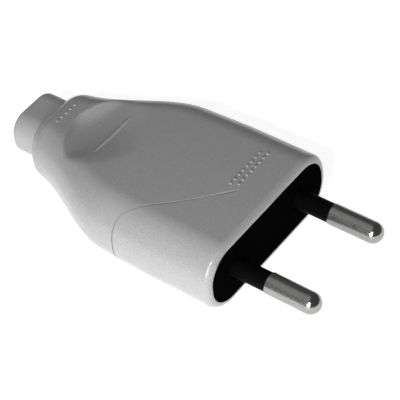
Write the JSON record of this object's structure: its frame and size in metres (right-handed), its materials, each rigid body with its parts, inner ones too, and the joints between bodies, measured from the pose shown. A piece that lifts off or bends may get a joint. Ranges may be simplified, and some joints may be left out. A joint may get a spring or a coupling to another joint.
{
  "type": "electrical plug",
  "caption": "Flat two-pole mains plug with round sleeved pins in a grey satin cover that narrows to a cord nozzle, with thumb scoops.",
  "frame": {"origin": "centre of the black mating face, midway between the two contact pins", "axes": "+X along the contact pins and out of the mating face, +Y across the pair of pins, +Z through the thickness; the plug lies flat on its underside, which faces -Z"},
  "size_m": [0.0715, 0.0354, 0.0146],
  "materials": {
    "cover_grey": "satin silver-grey moulded plastic with a fine grain",
    "nozzle_grey": "satin grey elastic plastic, a little softer than the cover",
    "carrier_black": "matt black moulded insulating plastic",
    "sleeve_black": "satin black insulating sleeve",
    "pin_nickel": "turned brass with a nickel plating",
    "screw_steel": "zinc-plated steel",
    "guard_steel": "thin spring steel",
    "clamp_grey": "dark grey moulded plastic"
  },
  "bodies": {
    "root": {"cover": "cover_grey", "cord_nozzle": "nozzle_grey", "contact_carrier": "carrier_black", "carrier_lid": "carrier_black", "pin_left": "pin_nickel", "pin_right": "pin_nickel", "pin_sleeve_left": "sleeve_black", "pin_sleeve_right": "sleeve_black", "terminal_screw_left": "screw_steel", "terminal_screw_right": "screw_steel", "wire_guard_left": "guard_steel", "wire_guard_right": "guard_steel", "cord_clamp_bar": "clamp_grey", "cord_clamp_screw_left": "screw_steel", "cord_clamp_screw_right": "screw_steel", "cord_clamp_nut_left": "screw_steel", "cord_clamp_nut_right": "screw_steel", "cover_screw": "screw_steel", "cover_nut": "screw_steel", "lid_screw": "screw_steel"}
  },
  "joints": []
}
